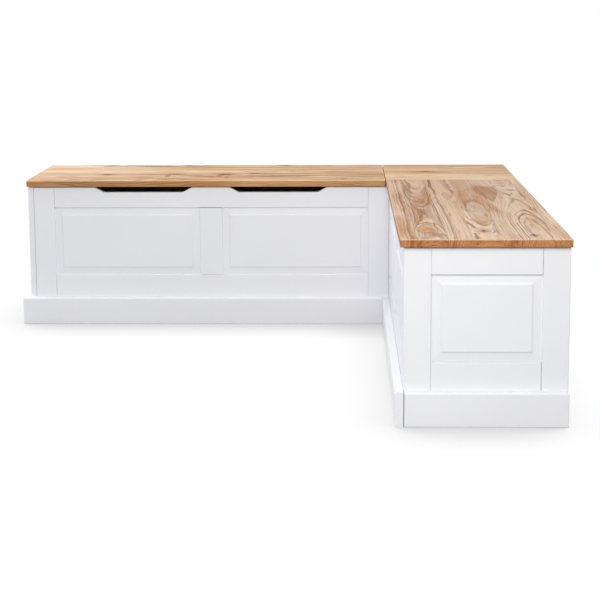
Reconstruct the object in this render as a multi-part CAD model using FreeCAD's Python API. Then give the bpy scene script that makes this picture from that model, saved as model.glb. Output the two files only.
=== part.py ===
import FreeCAD, Part
import math
import os

from FreeCAD import Placement, Rotation, Vector

# Corner storage bench, in millimetres, +Z up.
# Two painted frame-and-panel chests stand in an L against two walls of a room. The left chest
# runs along X, the right chest runs along Y towards the viewer and takes in the corner. Each has
# a hinged timber lid, and a fixed timber top closes the corner.
# While it is modelled, X = 0 is the inner side of the right chest, Y = 0 is the wall behind both
# chests and Z = 0 is the floor. At the end the model is moved so that its origin is the middle
# of its bounding box, on the floor.

# Overall sizes
seat_height = 470.0
seat_depth = 420.0
left_length = 1168.0
right_reach = 1130.0

# Lids and corner top
lid_thickness = 21.0
lid_overhang = 12.0
inner_overhang = 10.0
end_overhang = 2.0
wall_overhang = 3.0
lid_side_gap = 2.0
seam_gap = 3.0
lid_round = 2.5
glue_line = 0.1
left_stave_widths = (62.0, 74.0, 58.0, 81.0, 66.0)
right_stave_widths = (41.0, 76.0, 66.0, 67.0, 99.0, 41.0)
corner_stave_widths = (76.0, 58.0, 84.0, 69.0, 61.0)

# Painted carcass
board = 18.0
stile_width = 67.0
mullion_width = 74.0
mullion_round = 4.0
mullion_top_gap = 0.8
top_rail_width = 67.0
bottom_rail_width = 110.0
bottom_rail_top = 160.0
arris = 1.5
floor_thickness = 12.0
floor_height = 70.0
cleat_size = 20.0
cross_rail_width = 67.0

# Raised panels
panel_thickness = 12.0
panel_recess = 1.0
bevel_width = 18.0
bevel_drop = 2.5
cove_width = 8.0
cove_depth = 4.0
tongue_length = 7.5
tongue_end_clearance = 0.5

# Finger notches in the top rails
notch_length = 318.0
notch_floor_length = 256.0
notch_depth = 17.0
notch_spacing = 436.0
notch_radius = 14.0

# Plinth
plinth_height = 88.0
plinth_thickness = 22.0
plinth_chamfer = 5.0
plinth_joint_gap = 0.3

# Butt hinges
hinge_length = 76.0
hinge_count = 3
hinge_inset = 180.0
leaf_thickness = 1.0
leaf_clearance = 0.5
leaf_width = 22.0
leaf_corner = 3.0
knuckle_radius = 3.2
knuckle_count = 5
knuckle_side_clearance = 0.3
knuckle_edge_clearance = 0.3
pin_radius = 1.6
pin_running_clearance = 0.05
pin_head_radius = 2.4
pin_head_thickness = 1.0

# Battens under the lids
batten_width = 40.0
batten_thickness = 18.0
batten_count = 3
batten_inset = 110.0
batten_wall_clearance = 22.0
batten_chamfer = 2.0

# Screws, bolts and pads
hinge_screw_radius = 1.75
hinge_screw_head_radius = 3.3
hinge_screw_length = 15.0
hinge_screw_margin = 12.0
wood_screw_radius = 2.0
wood_screw_head_radius = 4.0
batten_screw_length = 30.0
batten_screw_margin = 40.0
corner_screw_length = 34.0
corner_screw_margin = 60.0
back_screw_length = 40.0
back_screw_count = 4
back_screw_margin = 50.0
floor_screw_count = 5
floor_screw_margin = 90.0
rail_screw_margin = 20.0
bolt_radius = 3.0
bolt_head_radius = 7.0
bolt_head_thickness = 3.0
bolt_hole_clearance = 0.3
nut_thickness = 5.0
bolt_wall_margin = 60.0
bolt_low_height = 130.0
bolt_high_drop = 90.0
bumper_radius = 5.0
bumper_clearance = 0.2
bumper_inset = 90.0

# Levels and planes that follow from the sizes above
lid_gap = 2 * leaf_thickness + leaf_clearance
lid_underside = seat_height - lid_thickness
carcass_height = lid_underside - lid_gap
hinge_axis_height = carcass_height + leaf_thickness + leaf_clearance / 2
axis_offset = knuckle_radius + knuckle_edge_clearance

carcass_back = -wall_overhang
carcass_front = lid_overhang - seat_depth
left_end = -left_length
right_front = carcass_front - right_reach
right_wall_side = seat_depth - inner_overhang - wall_overhang
right_lid_inner = -inner_overhang
right_lid_wall = seat_depth - inner_overhang

left_lid_start = left_end - end_overhang
left_lid_stop = right_lid_inner - lid_side_gap
corner_top_front = carcass_front - seam_gap
right_lid_back = corner_top_front - seam_gap
right_lid_front = right_front - lid_overhang
cross_rail_middle = corner_top_front - seam_gap / 2

panel_back = panel_recess + panel_thickness
tongue_front = panel_recess + cove_depth + bevel_drop
groove_depth = tongue_length + tongue_end_clearance
panel_opening_low = bottom_rail_top
panel_opening_high = carcass_height - top_rail_width

facing_front = Rotation()
facing_left = Rotation(Vector(0, 0, 1), -90)


def box(x0, y0, z0, x1, y1, z1):
    return Part.makeBox(x1 - x0, y1 - y0, z1 - z0, Vector(x0, y0, z0))


def edges_on_plane(shape, axis, value):
    """The edges that lie wholly in one plane square to axis X, Y or Z."""
    found = []
    for edge in shape.Edges:
        low = getattr(edge.BoundBox, axis + "Min")
        high = getattr(edge.BoundBox, axis + "Max")
        if abs(low - value) < 1e-6 and abs(high - value) < 1e-6:
            found.append(edge)
    return found


def softened(shape, axis, value, size=arris):
    """The shape with the edges round one outer face broken by a small chamfer."""
    return shape.makeChamfer(size, edges_on_plane(shape, axis, value))


def placed(shape, rotation, corner):
    moved = shape.copy()
    moved.Placement = Placement(corner, rotation).multiply(moved.Placement)
    return moved


# Frame-and-panel walls
# A wall is built flat: x runs along it, z is up, and y goes from its outer face into the chest.

def wall_board(x0, x1, z0, z1):
    return softened(box(x0, 0, z0, x1, board, z1), "Y", 0)


def groove(x0, x1, z0, z1):
    return box(x0, tongue_front, z0, x1, panel_back, z1)


def stile(x0, x1, grooved_left, grooved_right):
    """An upright with a groove in each edge that a rail and a panel enter."""
    shape = wall_board(x0, x1, 0, carcass_height)
    low = bottom_rail_top - bottom_rail_width
    if grooved_left:
        shape = shape.cut(groove(x0, x0 + groove_depth, low, carcass_height))
    if grooved_right:
        shape = shape.cut(groove(x1 - groove_depth, x1, low, carcass_height))
    return shape


def mullion(x0, x1):
    """The middle upright, with rounded long edges and stub tenons into both rails."""
    shape = box(x0, 0, panel_opening_low, x1, board, panel_opening_high - mullion_top_gap)
    long_edges = [edge for edge in edges_on_plane(shape, "Y", 0) if edge.BoundBox.ZLength > board]
    shape = shape.makeFillet(mullion_round, long_edges)
    tenon = groove(x0, x1, panel_opening_low - tongue_length, panel_opening_high + tongue_length)
    shape = shape.fuse(tenon)
    for start in (x0, x1 - groove_depth):
        slot = groove(start, start + groove_depth, panel_opening_low - groove_depth,
                      panel_opening_high + groove_depth)
        shape = shape.cut(slot)
    return shape.removeSplitter()


def rail(x0, x1, z0, z1, grooved_edge):
    """A cross piece with a tenon at each end and a panel groove along one edge."""
    shape = wall_board(x0, x1, z0, z1)
    shape = shape.fuse(groove(x0 - tongue_length, x1 + tongue_length, z0, z1))
    if grooved_edge == "bottom":
        slot = groove(x0 - groove_depth, x1 + groove_depth, z0, z0 + groove_depth)
    else:
        slot = groove(x0 - groove_depth, x1 + groove_depth, z1 - groove_depth, z1)
    return shape.cut(slot).removeSplitter()


def border_outline(low, high):
    """Cross-section of a raised panel between two frame edges, as (along, depth) edges."""
    radius = (cove_width ** 2 + cove_depth ** 2) / (2 * cove_depth)
    half_turn = math.asin(cove_width / radius) / 2
    cove_foot = panel_recess + cove_depth
    edges = []
    ends = {}
    for frame_edge, inward in ((low, 1), (high, -1)):
        def point(along, depth):
            return Vector(frame_edge + inward * along, depth, 0)
        tip = point(-tongue_length, tongue_front)
        shoulder = point(0, tongue_front)
        foot = point(bevel_width, cove_foot)
        middle = point(bevel_width + radius * math.sin(half_turn),
                       cove_foot - radius * (1 - math.cos(half_turn)))
        crest = point(bevel_width + cove_width, panel_recess)
        edges.append(Part.LineSegment(point(-tongue_length, panel_back), tip).toShape())
        edges.append(Part.LineSegment(tip, shoulder).toShape())
        edges.append(Part.LineSegment(shoulder, foot).toShape())
        edges.append(Part.Arc(foot, middle, crest).toShape())
        ends[inward] = (crest, point(-tongue_length, panel_back))
    edges.append(Part.LineSegment(ends[1][0], ends[-1][0]).toShape())
    edges.append(Part.LineSegment(ends[1][1], ends[-1][1]).toShape())
    return Part.Face(Part.Wire(Part.__sortEdges__(edges)))


def raised_panel(x0, x1):
    """A panel whose sloped border and coved step are mitred at the corners."""
    z0 = panel_opening_low
    z1 = panel_opening_high
    across = border_outline(x0, x1).extrude(Vector(0, 0, z1 - z0 + 2 * tongue_length))
    across.translate(Vector(0, 0, z0 - tongue_length))
    upright = border_outline(z0, z1).extrude(Vector(0, 0, x1 - x0 + 2 * tongue_length))
    upright.rotate(Vector(0, 0, 0), Vector(0, 1, 0), -90)
    upright.translate(Vector(x1 + tongue_length, 0, 0))
    return across.common(upright).removeSplitter()


def finger_notch(middle):
    """A shallow tapered cut in a rail's top edge, with rounded inner corners."""
    top = carcass_height
    low = carcass_height - notch_depth
    half_top = notch_length / 2
    half_low = notch_floor_length / 2
    corners = [Vector(middle - half_top, 0, top), Vector(middle - half_low, 0, low),
               Vector(middle + half_low, 0, low), Vector(middle + half_top, 0, top)]
    outline = Part.makePolygon(corners + corners[:1])
    cutter = Part.Face(outline).extrude(Vector(0, board, 0))
    lower_edges = [edge for edge in edges_on_plane(cutter, "Z", low) if edge.BoundBox.YLength > 1]
    return cutter.makeFillet(notch_radius, lower_edges)


def framed_wall(width, panel_count, notched):
    """One wall as a list of (piece, shape), built flat from its left stile to its right one."""
    pieces = []
    inner_start = stile_width
    inner_stop = width - stile_width
    low = bottom_rail_top - bottom_rail_width
    pieces.append(("first_stile", stile(0, stile_width, False, True)))
    pieces.append(("last_stile", stile(inner_stop, width, True, False)))
    top_rail = rail(inner_start, inner_stop, panel_opening_high, carcass_height, "bottom")
    if notched:
        for side in (-1, 1):
            top_rail = top_rail.cut(finger_notch(width / 2 + side * notch_spacing / 2))
    pieces.append(("top_rail", top_rail))
    pieces.append(("bottom_rail", rail(inner_start, inner_stop, low, bottom_rail_top, "top")))
    if panel_count == 1:
        pieces.append(("first_panel", raised_panel(inner_start, inner_stop)))
        return pieces
    middle_start = (inner_start + inner_stop - mullion_width) / 2
    middle_stop = middle_start + mullion_width
    pieces.append(("mullion", mullion(middle_start, middle_stop)))
    pieces.append(("first_panel", raised_panel(inner_start, middle_start)))
    pieces.append(("last_panel", raised_panel(middle_stop, inner_stop)))
    return pieces


parts = {}


def add_wall(width, panel_count, notched, rotation, corner, names):
    for piece, shape in framed_wall(width, panel_count, notched):
        parts[names[piece]] = placed(shape, rotation, corner)


# Left chest

add_wall(left_length - board, 2, True, facing_front, Vector(left_end + board, carcass_front, 0), {
    "first_stile": "left_front_left_stile",
    "last_stile": "left_front_right_stile",
    "mullion": "left_front_mullion",
    "top_rail": "left_front_top_rail",
    "bottom_rail": "left_front_bottom_rail",
    "first_panel": "left_front_left_panel",
    "last_panel": "left_front_right_panel",
})

inside_back = carcass_back - board

add_wall(inside_back - carcass_front, 1, False, facing_left, Vector(left_end, inside_back, 0), {
    "first_stile": "left_end_rear_stile",
    "last_stile": "left_end_front_stile",
    "top_rail": "left_end_top_rail",
    "bottom_rail": "left_end_bottom_rail",
    "first_panel": "left_end_panel",
})

left_inside_start = left_end + board
left_inside_stop = -board
left_inside_front = carcass_front + board

parts["left_inner_end_board"] = box(left_inside_stop, left_inside_front, 0,
                                    0, inside_back, carcass_height)
parts["left_back_board"] = box(left_end, inside_back, 0, 0, carcass_back, carcass_height)
parts["left_floor_board"] = box(left_inside_start, left_inside_front, floor_height,
                                left_inside_stop, inside_back, floor_height + floor_thickness)

# Right chest, which also carries the corner

add_wall(right_wall_side, 1, False, facing_front, Vector(0, right_front, 0), {
    "first_stile": "right_end_left_stile",
    "last_stile": "right_end_right_stile",
    "top_rail": "right_end_top_rail",
    "bottom_rail": "right_end_bottom_rail",
    "first_panel": "right_end_panel",
})

add_wall(right_reach - board, 2, True, facing_left, Vector(0, carcass_front, 0), {
    "first_stile": "right_side_rear_stile",
    "last_stile": "right_side_front_stile",
    "mullion": "right_side_mullion",
    "top_rail": "right_side_top_rail",
    "bottom_rail": "right_side_bottom_rail",
    "first_panel": "right_side_rear_panel",
    "last_panel": "right_side_front_panel",
})

right_inside_start = board
right_inside_stop = right_wall_side - board
right_inside_front = right_front + board

parts["corner_side_board"] = box(0, carcass_front, 0, board, inside_back, carcass_height)
parts["corner_back_board"] = box(0, inside_back, 0, right_wall_side, carcass_back, carcass_height)
parts["right_wall_board"] = box(right_inside_stop, right_inside_front, 0,
                                right_wall_side, inside_back, carcass_height)
parts["right_floor_board"] = box(right_inside_start, right_inside_front, floor_height,
                                 right_inside_stop, inside_back, floor_height + floor_thickness)
parts["corner_cross_rail"] = box(right_inside_start, cross_rail_middle - board / 2,
                                 carcass_height - cross_rail_width, right_inside_stop,
                                 cross_rail_middle + board / 2, carcass_height)

# Cleats under the floors, along the long walls

cleat_low = floor_height - cleat_size
left_cleats = [box(left_inside_start, start, cleat_low,
                   left_inside_stop, start + cleat_size, floor_height)
               for start in (left_inside_front, inside_back - cleat_size)]
right_cleats = [box(start, right_inside_front, cleat_low,
                    start + cleat_size, inside_back, floor_height)
                for start in (right_inside_start, right_inside_stop - cleat_size)]
parts["floor_cleats"] = Part.makeCompound(left_cleats + right_cleats)

# Cleats that the corner top is screwed to, level with its underside

cross_rail_back = cross_rail_middle + board / 2
corner_cleat_low = lid_underside - cleat_size
corner_cleats = [box(start, cross_rail_back, corner_cleat_low, start + cleat_size, inside_back,
                     lid_underside)
                 for start in (right_inside_start, right_inside_stop - cleat_size)]

# Plinths, nailed on over the foot of the walls that show


def moulded_plinth(shape, axis, outer):
    """A plinth with a wide chamfer along the top of its outer face and small ones on the rest."""
    face_edges = edges_on_plane(shape, axis, outer)
    top_edges = [edge for edge in face_edges if edge.BoundBox.ZMin > plinth_height / 2]
    shape = shape.makeChamfer(plinth_chamfer, top_edges)
    other_edges = [edge for edge in edges_on_plane(shape, axis, outer)
                   if edge.BoundBox.ZMin < plinth_height / 2]
    return shape.makeChamfer(arris, other_edges)


def front_plinth(x0, x1, back):
    shape = box(x0, back - plinth_thickness, 0, x1, back, plinth_height)
    return moulded_plinth(shape, "Y", back - plinth_thickness)


def side_plinth(y0, y1, inner):
    shape = box(inner - plinth_thickness, y0, 0, inner, y1, plinth_height)
    return moulded_plinth(shape, "X", inner - plinth_thickness)


parts["left_front_plinth"] = front_plinth(left_end - plinth_thickness, -plinth_thickness, carcass_front)
parts["left_end_plinth"] = side_plinth(carcass_front, carcass_back, left_end)
parts["right_side_plinth"] = side_plinth(right_front - plinth_thickness, carcass_front, 0)
parts["right_end_plinth"] = front_plinth(plinth_joint_gap, right_wall_side, right_front)

# Lids and corner top: panels of edge-glued staves


def top_panel(x0, y0, x1, y1):
    shape = box(x0, y0, lid_underside, x1, y1, seat_height)
    outer_edges = edges_on_plane(shape, "Z", seat_height) + edges_on_plane(shape, "Z", lid_underside)
    upright_edges = [edge for edge in shape.Edges if edge.BoundBox.ZLength > lid_thickness / 2]
    return shape.makeFillet(lid_round, outer_edges + upright_edges)


def sawn_into_staves(shape, widths, along):
    """Split a panel at the glue lines, counted from its low edge. The last stave is the rest."""
    bounds = shape.BoundBox
    position = bounds.YMin if along == "X" else bounds.XMin
    saw_cuts = []
    for width in widths:
        position += width
        low = position - glue_line / 2
        high = position + glue_line / 2
        if along == "X":
            saw_cuts.append(box(bounds.XMin, low, lid_underside, bounds.XMax, high, seat_height))
        else:
            saw_cuts.append(box(low, bounds.YMin, lid_underside, high, bounds.YMax, seat_height))
    return shape.cut(Part.makeCompound(saw_cuts))


left_lid = sawn_into_staves(top_panel(left_lid_start, -seat_depth, left_lid_stop, 0),
                            left_stave_widths, "X")
right_lid = sawn_into_staves(top_panel(right_lid_inner, right_lid_front, right_lid_wall, right_lid_back),
                             right_stave_widths, "Y")
corner_top = sawn_into_staves(top_panel(right_lid_inner, corner_top_front, right_lid_wall, 0),
                              corner_stave_widths, "X")

# Screws and bolts, modelled with the head's top at the origin and the point down


def countersunk_screw(radius, head_radius, length):
    head_height = head_radius - radius
    head = Part.makeCone(radius, head_radius, head_height, Vector(0, 0, -head_height))
    point_height = 2 * radius
    shank_length = length - head_height - point_height
    shank = Part.makeCylinder(radius, shank_length, Vector(0, 0, point_height - length))
    point = Part.makeCone(radius / 4, radius, point_height, Vector(0, 0, -length))
    return head.fuse([shank, point]).removeSplitter()


downwards = Rotation()
upwards = Rotation(Vector(1, 0, 0), 180)
towards_front = Rotation(Vector(1, 0, 0), -90)
towards_left = Rotation(Vector(0, 1, 0), 90)
hinge_screw = countersunk_screw(hinge_screw_radius, hinge_screw_head_radius, hinge_screw_length)

# Butt hinges
# Built with the pin along x at the origin. The leaves lie towards -y, the carcass leaf below.

knuckle_pitch = hinge_length / knuckle_count
hinge_span = hinge_length - knuckle_side_clearance
hinge_screw_line = -(axis_offset + wall_overhang + board / 2)


def knuckle(index, radius, clearance=0.0):
    start = index * knuckle_pitch - hinge_length / 2 + knuckle_side_clearance / 2 - clearance
    length = knuckle_pitch - knuckle_side_clearance + 2 * clearance
    return Part.makeCylinder(radius, length, Vector(start, 0, 0), Vector(1, 0, 0))


def leaf(z0, z1, own, other):
    plate = box(-hinge_span / 2, -leaf_width, z0, hinge_span / 2, 0, z1)
    far_corners = [edge for edge in edges_on_plane(plate, "Y", -leaf_width)
                   if edge.BoundBox.ZLength > leaf_thickness / 2]
    plate = plate.makeFillet(leaf_corner, far_corners)
    room = [knuckle(index, knuckle_radius + knuckle_edge_clearance, knuckle_side_clearance)
            for index in other]
    plate = plate.cut(room)
    shape = plate.fuse([knuckle(index, knuckle_radius) for index in own])
    bore = Part.makeCylinder(pin_radius + pin_running_clearance, hinge_span,
                             Vector(-hinge_span / 2, 0, 0), Vector(1, 0, 0))
    return shape.cut(bore).removeSplitter()


def hinge_pin():
    along = Vector(1, 0, 0)
    shaft = Part.makeCylinder(pin_radius, hinge_span, Vector(-hinge_span / 2, 0, 0), along)
    heads = [Part.makeCylinder(pin_head_radius, pin_head_thickness, Vector(start, 0, 0), along)
             for start in (-hinge_span / 2 - pin_head_thickness, hinge_span / 2)]
    return shaft.fuse(heads).removeSplitter()


def hinge_set(rotation, pivots):
    """All hinges of one lid: leaves, pins and screws, with the screw holes in the leaves."""
    outer_knuckles = range(0, knuckle_count, 2)
    inner_knuckles = range(1, knuckle_count, 2)
    near = leaf_clearance / 2
    far = near + leaf_thickness
    low_leaf = leaf(-far, -near, outer_knuckles, inner_knuckles)
    high_leaf = leaf(near, far, inner_knuckles, outer_knuckles)
    reach = hinge_length / 2 - hinge_screw_margin
    low_screws = [placed(hinge_screw, downwards, Vector(x, hinge_screw_line, -near))
                  for x in (-reach, 0, reach)]
    high_screws = [placed(hinge_screw, upwards, Vector(x, hinge_screw_line, near))
                   for x in (-reach, 0, reach)]
    low_leaf = low_leaf.cut(low_screws)
    high_leaf = high_leaf.cut(high_screws)
    found = {"carcass_leaves": [], "lid_leaves": [], "pins": [], "carcass_screws": [], "lid_screws": []}
    for pivot in pivots:
        found["carcass_leaves"].append(placed(low_leaf, rotation, pivot))
        found["lid_leaves"].append(placed(high_leaf, rotation, pivot))
        found["pins"].append(placed(hinge_pin(), rotation, pivot))
        found["carcass_screws"] += [placed(screw, rotation, pivot) for screw in low_screws]
        found["lid_screws"] += [placed(screw, rotation, pivot) for screw in high_screws]
    return found


def spread(start, stop, inset, count):
    """Places from start + inset to stop - inset, evenly spaced."""
    step = (stop - start - 2 * inset) / (count - 1)
    return [start + inset + step * index for index in range(count)]


left_pivots = [Vector(x, axis_offset, hinge_axis_height)
               for x in spread(left_lid_start, left_lid_stop, hinge_inset, hinge_count)]
right_pivots = [Vector(right_lid_wall + axis_offset, y, hinge_axis_height)
                for y in spread(right_lid_front, right_lid_back, hinge_inset, hinge_count)]
left_hinges = hinge_set(facing_front, left_pivots)
right_hinges = hinge_set(facing_left, right_pivots)

parts["left_hinge_carcass_leaves"] = Part.makeCompound(left_hinges["carcass_leaves"])
parts["left_hinge_lid_leaves"] = Part.makeCompound(left_hinges["lid_leaves"])
parts["left_hinge_pins"] = Part.makeCompound(left_hinges["pins"])
parts["right_hinge_carcass_leaves"] = Part.makeCompound(right_hinges["carcass_leaves"])
parts["right_hinge_lid_leaves"] = Part.makeCompound(right_hinges["lid_leaves"])
parts["right_hinge_pins"] = Part.makeCompound(right_hinges["pins"])
parts["left_hinge_carcass_screws"] = Part.makeCompound(left_hinges["carcass_screws"])
parts["left_hinge_lid_screws"] = Part.makeCompound(left_hinges["lid_screws"])
parts["right_hinge_carcass_screws"] = Part.makeCompound(right_hinges["carcass_screws"])
parts["right_hinge_lid_screws"] = Part.makeCompound(right_hinges["lid_screws"])
parts["left_back_board"] = parts["left_back_board"].cut(left_hinges["carcass_screws"])
parts["right_wall_board"] = parts["right_wall_board"].cut(right_hinges["carcass_screws"])
left_lid = left_lid.cut(left_hinges["lid_screws"])
right_lid = right_lid.cut(right_hinges["lid_screws"])

# Battens that keep the lids flat, screwed on from below

batten_screw = placed(countersunk_screw(wood_screw_radius, wood_screw_head_radius, batten_screw_length),
                      upwards, Vector(0, 0, 0))
batten_low = lid_underside - batten_thickness


def batten(x0, y0, x1, y1):
    return softened(box(x0, y0, batten_low, x1, y1, lid_underside), "Z", batten_low, batten_chamfer)


left_battens = []
left_batten_screws = []
for middle in spread(left_inside_start, left_inside_stop, batten_inset, batten_count):
    near = left_inside_front + batten_wall_clearance
    far = inside_back - batten_wall_clearance
    left_battens.append(batten(middle - batten_width / 2, near, middle + batten_width / 2, far))
    left_batten_screws += [placed(batten_screw, downwards, Vector(middle, y, batten_low))
                           for y in (near + batten_screw_margin, far - batten_screw_margin)]

right_battens = []
right_batten_screws = []
for middle in spread(right_inside_front, cross_rail_middle - board / 2, batten_inset, batten_count):
    near = right_inside_start + batten_wall_clearance
    far = right_inside_stop - batten_wall_clearance
    right_battens.append(batten(near, middle - batten_width / 2, far, middle + batten_width / 2))
    right_batten_screws += [placed(batten_screw, downwards, Vector(x, middle, batten_low))
                            for x in (near + batten_screw_margin, far - batten_screw_margin)]

parts["left_lid_battens"] = Part.makeCompound(left_battens).cut(left_batten_screws)
parts["right_lid_battens"] = Part.makeCompound(right_battens).cut(right_batten_screws)
parts["left_batten_screws"] = Part.makeCompound(left_batten_screws)
parts["right_batten_screws"] = Part.makeCompound(right_batten_screws)
parts["left_lid"] = left_lid.cut(left_batten_screws)
parts["right_lid"] = right_lid.cut(right_batten_screws)

# Screws up through the cleats into the corner top

corner_screw = placed(countersunk_screw(wood_screw_radius, wood_screw_head_radius, corner_screw_length),
                      upwards, Vector(0, 0, 0))
corner_screws = [placed(corner_screw, downwards, Vector(x, y, corner_cleat_low))
                 for x in (right_inside_start + cleat_size / 2, right_inside_stop - cleat_size / 2)
                 for y in (cross_rail_back + corner_screw_margin, inside_back - corner_screw_margin)]
parts["corner_top"] = corner_top.cut(corner_screws)
parts["corner_top_cleats"] = Part.makeCompound(corner_cleats).cut(corner_screws)
parts["corner_top_screws"] = Part.makeCompound(corner_screws)

# Screws through the back boards into the uprights, the floors and the cross rail

back_screw = countersunk_screw(wood_screw_radius, wood_screw_head_radius, back_screw_length)
floor_middle = floor_height + floor_thickness / 2
upright_middles = (left_end + board / 2, -board / 2, board / 2, right_wall_side - board / 2)
back_screws = [placed(back_screw, towards_front, Vector(x, carcass_back, z))
               for x in upright_middles
               for z in spread(0, carcass_height, back_screw_margin, back_screw_count)]
left_floor_places = spread(left_inside_start, left_inside_stop, floor_screw_margin, floor_screw_count)
right_floor_places = spread(right_inside_front, inside_back, floor_screw_margin, floor_screw_count)
back_screws += [placed(back_screw, towards_front, Vector(x, carcass_back, floor_middle))
                for x in left_floor_places]
back_screws += [placed(back_screw, towards_left, Vector(right_wall_side, y, floor_middle))
                for y in right_floor_places]
back_screws += [placed(back_screw, towards_left, Vector(right_wall_side, cross_rail_middle, z))
                for z in spread(carcass_height - cross_rail_width, carcass_height, rail_screw_margin, 2)]
for name in ("left_back_board", "corner_back_board", "right_wall_board", "left_end_rear_stile",
             "left_inner_end_board", "corner_side_board", "left_floor_board", "right_floor_board",
             "corner_cross_rail"):
    parts[name] = parts[name].cut(back_screws)
parts["back_board_screws"] = Part.makeCompound(back_screws)

# Connector bolts that hold the two chests together, with their nuts in the corner

bolt_span = 2 * board


def bolt_rod(radius, start, length):
    return Part.makeCylinder(radius, length, Vector(start, 0, 0), Vector(1, 0, 0))


bolt_shank = bolt_rod(bolt_radius, -board, bolt_span + nut_thickness)
bolt_head = bolt_rod(bolt_head_radius, -board - bolt_head_thickness, bolt_head_thickness)
bolt = bolt_shank.fuse(bolt_head).removeSplitter()
nut = bolt_rod(bolt_head_radius, board, nut_thickness).cut(bolt_shank)
bolt_hole = bolt_rod(bolt_radius + bolt_hole_clearance, -board, bolt_span)
bolt_places = [Vector(0, y, z)
               for y in (left_inside_front + bolt_wall_margin, inside_back - bolt_wall_margin)
               for z in (bolt_low_height, carcass_height - bolt_high_drop)]
bolt_holes = [placed(bolt_hole, facing_front, place) for place in bolt_places]
bolts = [placed(bolt, facing_front, place) for place in bolt_places]
nuts = [placed(nut, facing_front, place) for place in bolt_places]
parts["connector_bolts"] = Part.makeCompound(bolts)
parts["connector_nuts"] = Part.makeCompound(nuts)
parts["left_inner_end_board"] = parts["left_inner_end_board"].cut(bolt_holes)
parts["corner_side_board"] = parts["corner_side_board"].cut(bolt_holes)

# Soft pads that the closed lids rest on

bumper = Part.makeCylinder(bumper_radius, lid_gap - bumper_clearance, Vector(0, 0, carcass_height))
left_bumper_line = carcass_front + board / 2
right_bumper_line = board / 2
bumpers = [placed(bumper, facing_front, Vector(x, left_bumper_line, 0))
           for x in spread(left_inside_start, left_inside_stop, bumper_inset, 2)]
bumpers += [placed(bumper, facing_front, Vector(right_bumper_line, y, 0))
            for y in spread(right_inside_front, corner_top_front, bumper_inset, 2)]
parts["lid_bumpers"] = Part.makeCompound(bumpers)

# The origin goes to the middle of the bounding box, on the floor

whole = Part.makeCompound(list(parts.values())).BoundBox
to_origin = Vector(-(whole.XMin + whole.XMax) / 2, -(whole.YMin + whole.YMax) / 2, 0)

os.makedirs("parts", exist_ok=True)
for name, shape in parts.items():
    shape.translate(to_origin)
    shape.exportStep("parts/" + name + ".step")
print(len(parts), "pieces, origin moved by", to_origin)
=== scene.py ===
import math

import bpy
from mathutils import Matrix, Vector


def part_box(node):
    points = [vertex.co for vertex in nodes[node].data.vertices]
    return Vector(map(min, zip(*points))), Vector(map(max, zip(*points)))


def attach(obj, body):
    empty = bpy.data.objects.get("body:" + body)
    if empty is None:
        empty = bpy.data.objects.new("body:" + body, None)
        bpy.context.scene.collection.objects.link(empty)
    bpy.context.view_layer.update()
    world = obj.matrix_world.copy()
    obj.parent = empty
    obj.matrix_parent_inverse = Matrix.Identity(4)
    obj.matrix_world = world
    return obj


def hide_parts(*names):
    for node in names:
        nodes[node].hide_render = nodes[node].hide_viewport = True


# The corner storage bench, dressed piece by piece in the order it is put together: painted walls,
# boards, cleats, fastenings, plinths, corner top, lids, pads and hinges. Lengths are in metres.

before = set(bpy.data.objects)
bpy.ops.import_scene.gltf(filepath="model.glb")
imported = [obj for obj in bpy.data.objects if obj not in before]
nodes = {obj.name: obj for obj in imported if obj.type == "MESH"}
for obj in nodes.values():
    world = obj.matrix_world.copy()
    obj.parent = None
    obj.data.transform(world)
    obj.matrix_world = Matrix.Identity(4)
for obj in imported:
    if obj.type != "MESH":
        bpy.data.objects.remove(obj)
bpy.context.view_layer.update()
bpy.ops.object.select_all(action="DESELECT")


# Frame-and-panel walls: stiles, rails, mullions and raised panels.
# Pine frames round fibreboard panels, sprayed with white water-based satin lacquer. It leaves a
# faint orange peel, and the grain of each board telegraphs through it a little.

def srgb(hex_colour):
    """An sRGB hex colour as the linear RGBA that a shader socket takes."""
    channels = [int(hex_colour[start:start + 2], 16) / 255 for start in (1, 3, 5)]
    linear = [c / 12.92 if c <= 0.04045 else ((c + 0.055) / 1.055) ** 2.4 for c in channels]
    return (*linear, 1.0)


def add(tree, kind, settings, inputs, output=0):
    """Add a shader node with its settings, values and links, and return one output."""
    node = tree.nodes.new("ShaderNode" + kind)
    stops = settings.pop("stops", None)
    for name, value in settings.items():
        setattr(node, name, value)
    for key, value in inputs.items():
        if isinstance(value, bpy.types.NodeSocket):
            tree.links.new(value, node.inputs[key])
        else:
            node.inputs[key].default_value = value
    if stops:
        ramp = node.color_ramp
        ramp.elements[0].position, ramp.elements[0].color = stops[0]
        ramp.elements.remove(ramp.elements[1])
        for position, colour in stops[1:]:
            ramp.elements.new(position).color = colour
    return node.outputs[output]


def start_material(name, roughness, metallic=0.0):
    """A new material, its node tree, its shader and the object's own coordinates."""
    material = bpy.data.materials.new(name)
    material.use_nodes = True
    tree = material.node_tree
    shader = tree.nodes["Principled BSDF"]
    shader.inputs["Roughness"].default_value = roughness
    shader.inputs["Metallic"].default_value = metallic
    return material, tree, shader, add(tree, "TexCoord", {}, {}, "Object")


def finish_nodes(material, names):
    """Put one material into every slot of the named pieces."""
    for name in names:
        for slot in nodes[name].material_slots:
            slot.material = material


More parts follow.
